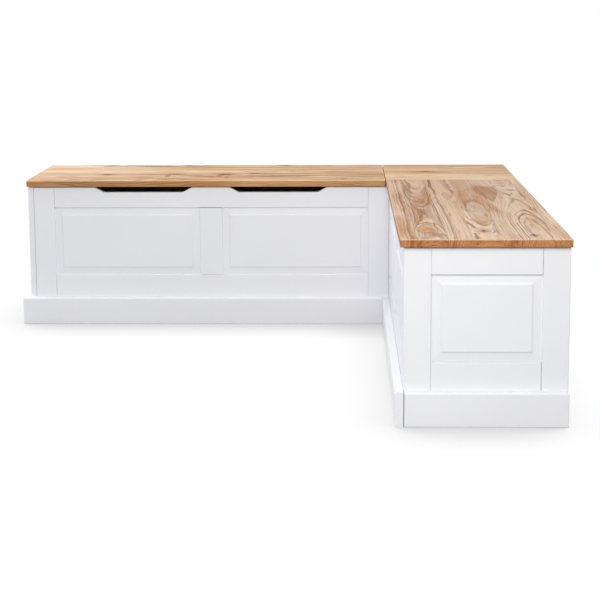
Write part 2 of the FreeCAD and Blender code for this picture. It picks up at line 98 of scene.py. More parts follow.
def satin_lacquer(name, grain, joints=(), bare=()):
    """White spray lacquer. Grain scales the figure along X, Y and Z: small along the wood.

    Joints are (axis, place, strength) for a dark line along a glued joint: the paint has
    cracked and gathered dust there, and the shade of the gap is painted in too. Bare is
    (axis, place, side) for a board left unpainted on that side of the place: of all the
    places, where there are more.
    """
    white, board, dust_and_shade = srgb("#F1F1F6"), srgb("#B08F66"), srgb("#6A6B70")
    cloud_size, peel_size, figure_width = 0.2, 0.0012, 0.004
    crack_and_shade_width, ragged_edge = 0.0011, 0.001
    material, tree, shader, place = start_material(name, roughness=0.42)
    cloud = add(tree, "TexNoise", {}, {"Vector": place, "Scale": 1 / cloud_size, "Detail": 3.0})
    stretched = add(tree, "Mapping", {}, {"Vector": place, "Scale": grain})
    figure = add(tree, "TexNoise", {}, {"Vector": stretched, "Scale": 1 / figure_width,
                                        "Detail": 3.0})
    peel = add(tree, "TexNoise", {}, {"Vector": place, "Scale": 1 / peel_size, "Detail": 1.0})
    tone = add(tree, "MapRange", {}, {"Value": cloud, "From Min": 0.3, "From Max": 0.7,
                                      "To Min": 0.975, "To Max": 1.0})
    colour = add(tree, "VectorMath", {"operation": "SCALE"}, {0: white[:3], "Scale": tone})
    # Each joint gets a dark line: crack and dust in the paint, and painted shade of the gap beside
    # it.
    for axis, joint, strength in joints:
        here = add(tree, "SeparateXYZ", {}, {0: place}, axis)
        away = add(tree, "Math", {"operation": "SUBTRACT"}, {0: here, 1: joint})
        away = add(tree, "Math", {"operation": "ABSOLUTE"}, {0: away})
        crack_and_shade = add(tree, "MapRange", {}, {"Value": away, "From Min": 0.8 * crack_and_shade_width,
                                           "From Max": crack_and_shade_width, "To Min": strength,
                                           "To Max": 0.0})
        colour = add(tree, "MixRGB", {}, {"Fac": crack_and_shade, "Color1": colour, "Color2": dust_and_shade})
    unpainted = 1.0
    for axis, limit, side in bare:
        here = add(tree, "SeparateXYZ", {}, {0: place}, axis)
        ragged = add(tree, "Math", {"operation": "MULTIPLY_ADD"},
                     {0: figure, 1: ragged_edge, 2: here})
        beyond = add(tree, "MapRange", {}, {"Value": ragged, "From Min": limit,
                                            "From Max": limit + side * ragged_edge})
        unpainted = add(tree, "Math", {"operation": "MULTIPLY"}, {0: beyond, 1: unpainted})
    if bare:
        colour = add(tree, "MixRGB", {}, {"Fac": unpainted, "Color1": colour, "Color2": board})
    tree.links.new(colour, shader.inputs["Base Color"])
    gloss = add(tree, "MapRange", {}, {"Value": figure, "From Min": 0.3, "From Max": 0.7,
                                       "To Min": 0.38, "To Max": 0.47})
    tree.links.new(gloss, shader.inputs["Roughness"])
    first = add(tree, "Bump", {}, {"Strength": 0.05, "Distance": 0.0004, "Height": peel})
    second = add(tree, "Bump", {}, {"Strength": 0.06, "Distance": 0.0006, "Height": figure,
                                    "Normal": first})
    tree.links.new(second, shader.inputs["Normal"])
    return material


def seams(axis, first, second, strengths):
    """The joints on a piece that fits between two others, at their edges that face it."""
    low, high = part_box(first)[1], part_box(second)[0]
    return [(axis, getattr(low, axis.lower()), strengths[0]),
            (axis, getattr(high, axis.lower()), strengths[1])]


stretch = 0.04
along_x, along_y, upright = (stretch, 1.0, 1.0), (1.0, stretch, 1.0), (1.0, 1.0, stretch)
lacquer_along_x = satin_lacquer("satin_lacquer_grain_along_x", along_x)
lacquer_along_y = satin_lacquer("satin_lacquer_grain_along_y", along_y)
lacquer_upright = satin_lacquer("satin_lacquer_grain_upright", upright)

finish_nodes(lacquer_upright, [
    "left_front_right_stile", "left_end_rear_stile", "left_end_front_stile",
    "right_end_left_stile", "right_end_right_stile", "right_side_rear_stile",
    "right_side_front_stile"])
finish_nodes(lacquer_along_x, [
    "left_front_left_panel", "left_front_right_panel", "right_end_panel"])
finish_nodes(lacquer_along_y, [
    "left_end_panel", "right_side_rear_panel", "right_side_front_panel"])
# A dark line at the corner seam: crack and dust in the paint, and painted shade of the groove.
corner_joint = [("X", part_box("left_front_left_stile")[0].x, 0.9)]
finish_nodes(satin_lacquer("satin_lacquer_on_left_front_left_stile", upright, corner_joint),
             ["left_front_left_stile"])
# wall, its axis and grain, the stiles at its two ends, the strength of the joint line at each
# (crack, dust and painted shade), and of the painted shade along the bottom rail's top edge
for wall, axis, grain, first, second, strengths, ledge_shade in (
        ("left_front", "X", along_x, "left_stile", "right_stile", (0.5, 0.3), 0.0),
        ("right_end", "X", along_x, "left_stile", "right_stile", (0.35, 0.9), 0.2),
        ("left_end", "Y", along_y, "front_stile", "rear_stile", (0.5, 0.5), 0.1),
        ("right_side", "Y", along_y, "front_stile", "rear_stile", (0.5, 0.5), 0.1)):
    joints = seams(axis, f"{wall}_{first}", f"{wall}_{second}", strengths)
    joints.append(("Z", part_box(wall + "_bottom_rail")[1].z, ledge_shade))
    finish_nodes(satin_lacquer(f"satin_lacquer_on_{wall}_rails", grain, joints),
                 [wall + "_top_rail", wall + "_bottom_rail"])
# Dark lines at the mullion's ends: crack and dust, and painted shade of the gap under the top
# rail.
for wall in ("left_front", "right_side"):
    finish_nodes(satin_lacquer(f"satin_lacquer_on_{wall}_mullion", upright,
                               seams("Z", wall + "_bottom_rail", wall + "_top_rail", (0.4, 0.9))),
                 [wall + "_mullion"])


# Back boards: 18 mm fibreboard, screwed on from behind, sprayed on the outside and on the edges
# that show. Their inner face stays the brown of the board.

skin = 0.003
back_face, wall_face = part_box("left_back_board")[1].y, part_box("right_wall_board")[1].x
for board, edge, side in (("left_back_board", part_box("left_back_board")[0].x + skin, 1),
                          ("corner_back_board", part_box("corner_back_board")[1].x - skin, -1)):
    finish_nodes(satin_lacquer("satin_lacquer_on_" + board, along_x, bare=[
        ("Y", back_face - skin, -1), ("X", edge, side)]), [board])
finish_nodes(satin_lacquer("satin_lacquer_on_right_wall_board", along_y,
                           bare=[("X", wall_face - skin, -1)]), ["right_wall_board"])


# Inner boards, where the two chests are bolted together: bare 18 mm fibreboard, hidden once the
# lids are down. Pressed fibres give it a fine brown speckle with soft darker clouds.

fibre_size, cloud_scale, cloud_share = 0.0014, 14.0, 0.35
fibreboard, tree, shader, place = start_material("bare_fibreboard", roughness=0.75)
fibres = add(tree, "TexNoise", {}, {"Vector": place, "Scale": 1 / fibre_size, "Detail": 4.0,
                                    "Roughness": 0.7})
cloud = add(tree, "TexNoise", {}, {"Vector": place, "Scale": cloud_scale, "Detail": 3.0})
shade = add(tree, "Math", {"operation": "MULTIPLY_ADD"}, {0: cloud, 1: cloud_share, 2: fibres})
colour = add(tree, "ValToRGB", {"stops": [
    (0.45, srgb("#8A6A49")), (0.66, srgb("#A98860")), (0.9, srgb("#C2A47C"))]}, {"Fac": shade})
tree.links.new(colour, shader.inputs["Base Color"])
bump = add(tree, "Bump", {}, {"Strength": 0.15, "Distance": 0.0002, "Height": fibres})
tree.links.new(bump, shader.inputs["Normal"])
finish_nodes(fibreboard, ["left_inner_end_board", "corner_side_board"])


# Floor boards: 12 mm birch plywood, laid on cleats and held by screws through the back boards.
# Rotary-cut veneer shows broad pale waves, and the sawn edges show the plies one over another.

def birch_plywood(name, grain):
    """Waves of figure on the two faces, and the plies on the edges."""
    ply_pair, flow_scale, waves_per_flow, pore_scale = 0.003, 9.0, 16.0, 420.0
    material, tree, shader, place = start_material(name, roughness=0.6)
    mapped = add(tree, "Mapping", {}, {"Vector": place, "Scale": grain})
    flow = add(tree, "TexNoise", {}, {"Vector": mapped, "Scale": flow_scale, "Detail": 3.0})
    waves = add(tree, "Math", {"operation": "MULTIPLY"}, {0: flow, 1: waves_per_flow})
    waves = add(tree, "Math", {"operation": "PINGPONG"}, {0: waves, 1: 1.0})
    pores = add(tree, "TexNoise", {}, {"Vector": mapped, "Scale": pore_scale, "Detail": 3.0})
    shade = add(tree, "Math", {"operation": "MULTIPLY_ADD"}, {0: pores, 1: 0.7, 2: waves})
    face = add(tree, "ValToRGB", {"stops": [
        (0.1, srgb("#E6CC9F")), (0.7, srgb("#DBBC8C")), (1.0, srgb("#C9A571"))]}, {"Fac": shade})
    height = add(tree, "SeparateXYZ", {}, {0: place}, "Z")
    layers = add(tree, "Math", {"operation": "DIVIDE"}, {0: height, 1: ply_pair})
    layers = add(tree, "Math", {"operation": "FRACT"}, {0: layers})
    edge = add(tree, "ValToRGB", {"stops": [
        (0.0, srgb("#D9BB8A")), (0.45, srgb("#D9BB8A")), (0.5, srgb("#A9814F")),
        (0.95, srgb("#A9814F")), (1.0, srgb("#D9BB8A"))]}, {"Fac": layers})
    normal = add(tree, "NewGeometry", {}, {}, "Normal")
    upward = add(tree, "SeparateXYZ", {}, {0: normal}, "Z")
    upward = add(tree, "Math", {"operation": "ABSOLUTE"}, {0: upward})
    colour = add(tree, "MixRGB", {}, {"Fac": upward, "Color1": edge, "Color2": face})
    tree.links.new(colour, shader.inputs["Base Color"])
    bump = add(tree, "Bump", {}, {"Strength": 0.12, "Distance": 0.0002, "Height": pores})
    tree.links.new(bump, shader.inputs["Normal"])
    return material


stretch = 0.12
finish_nodes(birch_plywood("birch_plywood_along_x", (stretch, 1.0, 1.0)), ["left_floor_board"])
finish_nodes(birch_plywood("birch_plywood_along_y", (1.0, stretch, 1.0)), ["right_floor_board"])


# Cleats, lid battens and the rail under the seam: planed pine, left bare. Even growth lines with
# soft orange late wood run along each stick, with a small brown knot here and there.

def planed_pine(name, grain, side_axis):
    """Growth lines along a stick, one beside another across its side axis."""
    ring_width, knot_gap, flow_scale, fibre_scale = 0.0045, 0.14, 12.0, 420.0
    slope, waver = 0.6, 0.06
    material, tree, shader, place = start_material(name, roughness=0.55)
    mapped = add(tree, "Mapping", {}, {"Vector": place, "Scale": grain})
    flow = add(tree, "TexNoise", {}, {"Vector": mapped, "Scale": flow_scale, "Detail": 2.0})
    split = add(tree, "SeparateXYZ", {}, {0: place}).node.outputs
    slant = add(tree, "Math", {"operation": "MULTIPLY_ADD"},
                {0: split["Z"], 1: slope, 2: split[side_axis]})
    bent = add(tree, "Math", {"operation": "MULTIPLY_ADD"}, {0: flow, 1: waver, 2: slant})
    count = add(tree, "Math", {"operation": "DIVIDE"}, {0: bent, 1: ring_width})
    phase = add(tree, "Math", {"operation": "FRACT"}, {0: count})
    rings = add(tree, "ValToRGB", {"stops": [
        (0.0, srgb("#E6CA98")), (0.6, srgb("#DEBA81")), (0.9, srgb("#C48A4E")),
        (1.0, srgb("#E6CA98"))]}, {"Fac": phase})
    fibre = add(tree, "TexNoise", {}, {"Vector": mapped, "Scale": fibre_scale, "Detail": 3.0})
    streak = add(tree, "MapRange", {}, {"Value": fibre, "From Min": 0.3, "From Max": 0.7,
                                        "To Min": 0.88, "To Max": 1.05})
    colour = add(tree, "VectorMath", {"operation": "SCALE"}, {0: rings, "Scale": streak})
    spot = add(tree, "TexVoronoi", {}, {"Vector": place, "Scale": 1 / knot_gap}, "Distance")
    heart = add(tree, "MapRange", {}, {"Value": spot, "From Min": 0.04, "From Max": 0.07,
                                       "To Min": 0.85, "To Max": 0.0})
    colour = add(tree, "MixRGB", {}, {"Fac": heart, "Color1": colour, "Color2": srgb("#7C4B26")})
    tree.links.new(colour, shader.inputs["Base Color"])
    bump = add(tree, "Bump", {}, {"Strength": 0.15, "Distance": 0.0003, "Height": fibre})
    tree.links.new(bump, shader.inputs["Normal"])
    return material


stretch = 0.06
pine_along_x = planed_pine("planed_pine_along_x", (stretch, 1.0, 1.0), side_axis="Y")
pine_along_y = planed_pine("planed_pine_along_y", (1.0, stretch, 1.0), side_axis="X")
finish_nodes(pine_along_x, ["corner_cross_rail", "right_lid_battens"])
finish_nodes(pine_along_y, ["floor_cleats", "corner_top_cleats", "left_lid_battens"])


# Back board screws: yellow-zinc plated steel, countersunk, with a cross recess and a coarse
# thread. They are driven from behind and from the wall side into the uprights, the floor boards
# and the cross rail, so only their heads show.

def plated_steel(name, bright, dull, roughness):
    """Plated steel with the cloudy tint of its plating and the fine marks of tumbling."""
    mark_size, cloud_size = 0.0006, 1 / 180
    material, tree, shader, place = start_material(name, roughness, metallic=1.0)
    cloud = add(tree, "TexNoise", {}, {"Vector": place, "Scale": 1 / cloud_size, "Detail": 3.0})
    marks = add(tree, "TexNoise", {}, {"Vector": place, "Scale": 1 / mark_size, "Detail": 2.0})
    colour = add(tree, "ValToRGB", {"stops": [(0.3, srgb(bright)), (0.75, srgb(dull))]},
                 {"Fac": cloud})
    tree.links.new(colour, shader.inputs["Base Color"])
    rough = add(tree, "MapRange", {}, {"Value": marks, "From Min": 0.3, "From Max": 0.7,
                                       "To Min": roughness - 0.08, "To Max": roughness + 0.1})
    tree.links.new(rough, shader.inputs["Roughness"])
    bump = add(tree, "Bump", {}, {"Strength": 0.08, "Distance": 0.0001, "Height": marks})
    tree.links.new(bump, shader.inputs["Normal"])
    return material


def make_active(piece):
    """Select one object alone and make it the active one."""
    bpy.ops.object.select_all(action="DESELECT")
    piece.select_set(True)
    bpy.context.view_layer.objects.active = piece


def apply_modifier(piece, kind, settings):
    """Add a modifier with its settings and apply it at once."""
    make_active(piece)
    modifier = piece.modifiers.new(kind.lower(), kind)
    for name, value in settings.items():
        setattr(modifier, name, value)
    bpy.ops.object.modifier_apply(modifier=modifier.name)


def cut_with(piece, cutter):
    """Cut one object out of another, and remove it."""
    apply_modifier(piece, "BOOLEAN", {"operation": "DIFFERENCE", "solver": "EXACT",
                                      "object": cutter})
    bpy.data.objects.remove(cutter, do_unlink=True)


def join(pieces):
    """Join objects into the first of them."""
    make_active(pieces[0])
    for piece in pieces:
        piece.select_set(True)
    bpy.ops.object.join()
    return pieces[0]


def wood_screw(shank_radius, head_radius, length):
    """A countersunk screw, the top of its head at the origin and its point straight down."""
    rim, core, tip, point = 0.0002, 0.72 * shank_radius, 0.12 * shank_radius, 2 * shank_radius
    cone = head_radius - shank_radius
    thread_length = length - rim - cone - point
    bpy.ops.mesh.primitive_circle_add(vertices=24, radius=head_radius, fill_type="NGON")
    screw = bpy.context.object
    bpy.ops.object.mode_set(mode="EDIT")
    bpy.ops.mesh.select_all(action="SELECT")
    radius = head_radius
    for next_radius, drop in ((head_radius, rim), (core, cone),
                              (core, thread_length), (tip, point)):
        bpy.ops.mesh.extrude_region_move(TRANSFORM_OT_translate={"value": (0, 0, -drop)})
        bpy.ops.transform.resize(value=(next_radius / radius, next_radius / radius, 1.0))
        radius = next_radius
    bpy.ops.mesh.select_all(action="SELECT")
    bpy.ops.mesh.normals_make_consistent(inside=False)
    bpy.ops.object.mode_set(mode="OBJECT")

    reach, wing, depth = 1.1 * head_radius, 0.26 * head_radius, 0.6 * head_radius
    floor_share = 0.4
    for long_side, short_side in ((reach, wing), (wing, reach)):
        bpy.ops.mesh.primitive_cube_add(size=1, location=(0, 0, 0))
        cutter = bpy.context.object
        bpy.ops.object.mode_set(mode="EDIT")
        bpy.ops.transform.resize(value=(long_side, short_side, 2 * depth),
                                 center_override=(0, 0, 0))
        bpy.ops.mesh.select_all(action="DESELECT")
        bpy.ops.object.mode_set(mode="OBJECT")
        for face in cutter.data.polygons:
            face.select = face.normal.z < -0.9
        bpy.ops.object.mode_set(mode="EDIT")
        bpy.ops.transform.resize(value=(floor_share, floor_share, 1.0),
                                 center_override=(0, 0, -depth))
        bpy.ops.object.mode_set(mode="OBJECT")
        cut_with(screw, cutter)

    pitch, least_turns = 1.2 * shank_radius, 4
    turns = max(least_turns, int(thread_length / pitch))
    bpy.ops.mesh.primitive_circle_add(vertices=3, radius=shank_radius - core,
                                      location=(core, 0, point - length))
    thread = bpy.context.object
    bpy.ops.object.mode_set(mode="EDIT")
    bpy.ops.transform.rotate(value=math.radians(90), orient_axis="X",
                             center_override=thread.location)
    bpy.ops.object.mode_set(mode="OBJECT")
    bpy.ops.object.transform_apply(location=True)
    apply_modifier(thread, "SCREW", {"axis": "Z", "angle": math.tau, "iterations": turns,
                                     "screw_offset": thread_length / turns, "steps": 10,
                                     "render_steps": 10})
    bpy.ops.object.mode_set(mode="EDIT")
    bpy.ops.mesh.select_all(action="SELECT")
    bpy.ops.mesh.fill_holes(sides=3)
    bpy.ops.mesh.normals_make_consistent(inside=False)
    bpy.ops.object.mode_set(mode="OBJECT")
    return join([screw, thread])


smooth_limit = math.radians(35)


def set_out(master, groups, name, body, node, material):
    """Copy a master to its places, join the copies and let them stand for a node.

    Groups are (turn about X, turn about Y, places): unturned, a fastener points down.
    """
    copies = []
    for turn_x, turn_y, places in groups:
        for place in places:
            copy = bpy.data.objects.new(name, master.data.copy())
            bpy.context.collection.objects.link(copy)
            copy.location = place
            copy.rotation_euler = (math.radians(turn_x), math.radians(turn_y), 0)
            copies.append(copy)
    piece = join(copies)
    bpy.ops.object.transform_apply()
    bpy.ops.object.origin_set(type="ORIGIN_CURSOR")
    bpy.ops.object.shade_smooth_by_angle(angle=smooth_limit)
    piece.name = name
    piece.data.materials.clear()
    piece.data.materials.append(material)
    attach(piece, body)
    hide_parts(node)
    bpy.data.objects.remove(master, do_unlink=True)


def spread(low, high, inset, count):
    """Places at even steps between two ends, the outer ones an inset away from them."""
    gap = (high - low - 2 * inset) / (count - 1)
    return [low + inset + index * gap for index in range(count)]


yellow_zinc = plated_steel("yellow_zinc_plated_steel", bright="#CDB26E", dull="#AA9054",
                           roughness=0.34)

left_floor_low, left_floor_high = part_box("left_floor_board")
right_floor_low, right_floor_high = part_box("right_floor_board")
rail_low, rail_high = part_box("corner_cross_rail")
floor_middle = (left_floor_low.z + left_floor_high.z) / 2
rail_middle = (rail_low.y + rail_high.y) / 2
half_board = (back_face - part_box("left_back_board")[0].y) / 2
upright_inset, floor_inset, rail_inset = 0.050, 0.090, 0.020
from_behind = [(x, back_face, z)
               for low, high in (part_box("left_back_board"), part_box("corner_back_board"))
               for x in (low.x + half_board, high.x - half_board)
               for z in spread(low.z, high.z, upright_inset, 4)]
from_behind += [(x, back_face, floor_middle)
                for x in spread(left_floor_low.x, left_floor_high.x, floor_inset, 5)]
from_the_wall = [(wall_face, y, floor_middle)
                 for y in spread(right_floor_low.y, right_floor_high.y, floor_inset, 5)]
from_the_wall += [(wall_face, rail_middle, z)
                  for z in spread(rail_low.z, rail_high.z, rail_inset, 2)]
set_out(wood_screw(shank_radius=0.002, head_radius=0.004, length=0.040),
        [(-90, 0, from_behind), (0, 90, from_the_wall)],
        "cross_head_back_board_screws", "carcass", "back_board_screws", yellow_zinc)


# Connector bolts: steel furniture bolts with a low rounded head and a hexagon socket. Four of
# them go through both inner boards, with a hexagon nut on the corner's side.

bright_zinc = plated_steel("bright_zinc_plated_steel", bright="#C4C8CC", dull="#A4A8AD",
                           roughness=0.3)

inner_low, inner_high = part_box("left_inner_end_board")
bolt_head_radius, bolt_head_height, bolt_head_round = 0.007, 0.003, 0.0009
nut_radius, nut_thickness, nut_round = 0.007, 0.005, 0.0005
nut_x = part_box("corner_side_board")[1].x + nut_thickness
bolt_radius, bolt_reach, bolt_end_round = 0.003, nut_x - inner_low.x, 0.0006
socket_radius, socket_depth = 0.0023, 0.002
bpy.ops.mesh.primitive_cylinder_add(vertices=40, radius=bolt_head_radius, depth=bolt_head_height,
                                    location=(0, 0, -bolt_head_height / 2))
bolt = bpy.context.object
bpy.ops.object.transform_apply()
apply_modifier(bolt, "BEVEL", {"width": bolt_head_round, "segments": 3,
                               "limit_method": "ANGLE"})
bpy.ops.mesh.primitive_cylinder_add(vertices=6, radius=socket_radius, depth=2 * socket_depth)
cut_with(bolt, bpy.context.object)
bpy.ops.mesh.primitive_cylinder_add(vertices=24, radius=bolt_radius, depth=bolt_reach,
                                    location=(0, 0, -bolt_head_height - bolt_reach / 2))
shank = bpy.context.object
bpy.ops.object.transform_apply()
apply_modifier(shank, "BEVEL", {"width": bolt_end_round, "segments": 2,
                                "limit_method": "ANGLE"})

bpy.ops.mesh.primitive_cylinder_add(vertices=6, radius=nut_radius, depth=nut_thickness,
                                    location=(0, 0, -nut_thickness / 2))
nut = bpy.context.object
bpy.ops.object.transform_apply()
apply_modifier(nut, "BEVEL", {"width": nut_round, "segments": 2, "limit_method": "ANGLE"})
bpy.ops.mesh.primitive_cylinder_add(vertices=24, radius=bolt_radius, depth=3 * nut_thickness)
cut_with(nut, bpy.context.object)

side_inset, low_bolt, top_inset = 0.060, 0.130, 0.090
bolt_y = spread(inner_low.y, inner_high.y, side_inset, 2)
bolt_x, bolt_z = inner_low.x - bolt_head_height, (low_bolt, inner_high.z - top_inset)
set_out(join([bolt, shank]), [(0, -90, [(bolt_x, y, z) for y in bolt_y for z in bolt_z])],
        "socket_head_connector_bolts", "carcass", "connector_bolts", bright_zinc)
set_out(nut, [(0, 90, [(nut_x, y, z) for y in bolt_y for z in bolt_z])],
        "hexagon_connector_nuts", "carcass", "connector_nuts", bright_zinc)


# Plinths: planed pine with a chamfered top edge, mitred at the outer corners, pinned to the
# walls and sprayed with the same lacquer.

# Both plinths get a dark line at the butt joint: crack and dust, and painted shade of the gap.
butt_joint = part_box("right_end_plinth")[0].x
finish_nodes(lacquer_along_x, ["left_front_plinth"])
finish_nodes(lacquer_along_y, ["left_end_plinth"])
finish_nodes(satin_lacquer("satin_lacquer_on_right_end_plinth", along_x,
                           [("X", butt_joint, 1.0)]), ["right_end_plinth"])
finish_nodes(satin_lacquer("satin_lacquer_on_right_side_plinth", along_y,
                           [("X", butt_joint, 1.0)]), ["right_side_plinth"])


# Corner top and lids: 21 mm panels of edge-glued acacia staves, planed, with rounded edges and
# satin oil. Each stave comes from its own log, so the growth rings run differently in each:
# long arches where the saw ran near the log's axis, straight lines where it ran far from it.

def timber(name, node, run, staves, palette, knots, figures):
    """Sawn timber for a panel of staves that run along X or Y.

    A stave is (width, pith across, pith depth, swing, turn along, period, tone, seed): the
    log's axis lies under the top, and its depth swings along the stave about the turn. A knot
    is (across, along, radius). A figure is an oval (across, along, half-width, half-length,
    taper), and then (colour, strength) for a patch or (from, to, strength) for dark rings
    along its rim, which start and end at these shares of its half-length.
    """
    light, middle, dark, warm, pale, line, edge, end, arris_highlight = map(srgb, palette)
    low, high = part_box(node)
    size = high - low
    width, length = (size.x, size.y) if run == "Y" else (size.y, size.x)
    widths, piths, depths, swings, turns, periods, tones, seeds = zip(*staves)
    deepest, widest_swing, longest, seed_spread = 0.2, 0.2, 2.0, 60.0
    wander_width, wander_depth, wobble_width, fibre_width = 0.03, 0.02, 0.008, 0.0014
    material, tree, shader, place = start_material(name, roughness=0.45)

    def sums(operation, first, second=0.0, third=0.0):
        return add(tree, "Math", {"operation": operation}, {0: first, 1: second, 2: third})

    def sway(value, by, amount):
        """A value pushed either way by another that runs from 0 to 1."""
        return sums("MULTIPLY_ADD", sums("SUBTRACT", by, 0.5), amount, value)

    def noise(across_count, along_count, detail, shift, roughness=0.5):
        """Noise with so many cells in a metre across and along the grain."""
        mapped = add(tree, "Mapping", {}, {"Vector": flat,
                                           "Scale": (across_count, along_count, across_count)})
        return add(tree, "TexNoise", {"noise_dimensions": "4D"},
                   {"Vector": mapped, "W": sums("ADD", seed, shift), "Scale": 1.0,
                    "Detail": detail, "Roughness": roughness}).node.outputs

    def step(value, start, finish, before=0.0, after=1.0):
        return add(tree, "MapRange", {"interpolation_type": "SMOOTHSTEP"},
                   {"Value": value, "From Min": start, "From Max": finish, "To Min": before,
                    "To Max": after})

    def blend(factor, first, second, kind="MIX"):
        return add(tree, "MixRGB", {"blend_type": kind},
                   {"Fac": factor, "Color1": first, "Color2": second})

    black, white = srgb("#000000"), srgb("#FFFFFF")
    local = add(tree, "VectorMath", {"operation": "SUBTRACT"}, {0: place, 1: low})
    split = add(tree, "SeparateXYZ", {}, {0: local}).node.outputs
    across, along = (split["X"], split["Y"]) if run == "Y" else (split["Y"], split["X"])
    height = split["Z"]
    flat = add(tree, "CombineXYZ", {}, {0: across, 1: along, 2: height})
    share = sums("DIVIDE", across, width)
    starts = [sum(widths[:index]) / width for index in range(len(staves))]

    def table(*columns):
        """Three values of each stave, as the channels of a ramp with a flat step for each."""
        node = add(tree, "ValToRGB", {"stops": [
            (start, (*row, 1.0)) for start, row in zip(starts, zip(*columns))]}, {"Fac": share})
        node.node.color_ramp.interpolation = "CONSTANT"
        return add(tree, "SeparateColor", {}, {0: node}).node.outputs

    pith_across, pith_depth, tone = table(
        [pith / width for pith in piths], [depth / deepest for depth in depths], tones)
    turn, swing, period = table(
        [turn / length for turn in turns], [0.5 + swing / widest_swing for swing in swings],
        [period / longest for period in periods])
    seed = sums("MULTIPLY", table(seeds, tones, tones)[0], seed_spread)

    wander = add(tree, "SeparateColor", {}, {0: noise(2.0, 2.2, detail=1.0, shift=0.0)["Color"]})
    wander = wander.node.outputs
    wobble = noise(60.0, 11.0, detail=2.0, shift=0.0)[0]
    fibre = noise(420.0, 8.0, detail=4.0, shift=0.0, roughness=0.6)[0]
    streaks = noise(110.0, 1.3, detail=2.0, shift=0.0)[0]

    sideways = sums("MULTIPLY_ADD", pith_across, -width, across)
    sideways = sway(sideways, wander[0], wander_width)
    angle = sums("MULTIPLY_ADD", turn, -length, along)
    angle = sums("MULTIPLY", sums("DIVIDE", angle, period), math.tau / longest)
    below = sums("MULTIPLY_ADD", pith_depth, deepest, sums("SUBTRACT", height, size.z))
    swing = sums("MULTIPLY", sums("SUBTRACT", swing, 0.5), widest_swing)
    below = sums("MULTIPLY_ADD", sums("COSINE", angle), swing, below)
    below = sway(below, wander[1], wander_depth)
    radius = sums("SQRT", sums("MULTIPLY_ADD", sideways, sideways, sums("MULTIPLY", below, below)))
    radius = sway(radius, wobble, wobble_width)
    radius = sums("MULTIPLY_ADD", fibre, fibre_width, radius)

    def oval_span(centre, stretch, taper=0.0, least_width=0.2):
        """The distance from an oval's centre, 1 at its rim, and the same by direction."""
        apart = add(tree, "VectorMath", {"operation": "SUBTRACT"},
                    {0: flat, 1: (*centre, size.z)})
        squeezed = add(tree, "VectorMath", {"operation": "MULTIPLY"}, {0: apart, 1: stretch})
        if taper:
            parts = add(tree, "SeparateXYZ", {}, {0: squeezed}).node.outputs
            widening = sums("MAXIMUM", sums("MULTIPLY_ADD", parts[1], taper, 1.0), least_width)
            squeezed = add(tree, "CombineXYZ", {}, {
                0: sums("DIVIDE", parts[0], widening), 1: parts[1], 2: parts[2]})
        return add(tree, "VectorMath", {"operation": "LENGTH"}, {0: squeezed}, "Value"), squeezed

    knot_bulge, knot_reach, knot_halo, knot_heart = 0.018, 5.0, "#A8642A", "#4E2C18"
    hearts = []
    for knot_across, knot_along, knot_radius in knots:
        span, _ = oval_span((knot_across, knot_along),
                            (1 / knot_radius, 0.6 / knot_radius, 0.2 / knot_radius))
        radius = sums("ADD", radius, step(span, 0.0, knot_reach, before=knot_bulge, after=0.0))
        hearts += [(step(span, 1.0, 3.0, before=0.6, after=0.0), knot_halo),
                   (step(span, 0.5, 1.2, before=0.95, after=0.0), knot_heart)]

    def ring_noise(spacing, detail, shift):
        """Noise that changes from ring to ring only."""
        return add(tree, "TexNoise", {"noise_dimensions": "1D"},
                   {"W": sums("MULTIPLY_ADD", radius, 1 / spacing, sums("ADD", seed, shift)),
                    "Scale": 1.0, "Detail": detail, "Roughness": 0.65})

    bands = ring_noise(spacing=0.009, detail=3.0, shift=0.0)
    zones = ring_noise(spacing=0.04, detail=1.0, shift=21.0)
    shade = bands
    for change, amount in ((zones, 0.7), (streaks, 0.6), (tone, 0.4)):
        shade = sway(shade, change, amount)
    colour = add(tree, "ValToRGB", {"stops": [
        (0.28, dark), (0.42, middle), (0.60, light)]}, {"Fac": shade})
    warm_zone = step(noise(13.0, 2.2, detail=1.0, shift=5.0)[0], 0.52, 0.66, after=0.5)
    pale_zone = step(noise(16.0, 3.0, detail=1.0, shift=9.0)[0], 0.44, 0.58, after=0.75)
    colour = blend(warm_zone, colour, warm)
    colour = blend(sums("MULTIPLY", pale_zone, tone), colour, pale)

    def ring_lines(spacing, bend, start, peak):
        """Late wood: lines that darken slowly outwards and stop at once."""
        count = sums("MULTIPLY_ADD", zones, bend, sums("DIVIDE", radius, spacing))
        return add(tree, "ValToRGB", {"stops": [
            (0.0, black), (start, black), (peak, white), (peak + 0.04, white),
            (peak + 0.08, black)]}, {"Fac": sums("FRACT", count)})

    coarse = ring_lines(spacing=0.015, bend=2.2, start=0.76, peak=0.88)
    late = ring_lines(spacing=0.0056, bend=1.1, start=0.45, peak=0.80)
    presence = step(noise(34.0, 5.0, detail=2.0, shift=13.0)[0], 0.38, 0.60, 0.1, 0.78)
    colour = blend(sums("MULTIPLY", coarse, presence), colour, line)
    presence = step(noise(22.0, 3.0, detail=2.0, shift=17.0)[0], 0.40, 0.62, 0.08, 0.5)
    colour = blend(sums("MULTIPLY", late, presence), colour, line)
    fleck = step(noise(190.0, 7.0, detail=1.0, shift=31.0)[0], 0.62, 0.72, after=0.6)
    colour = blend(fleck, colour, line)

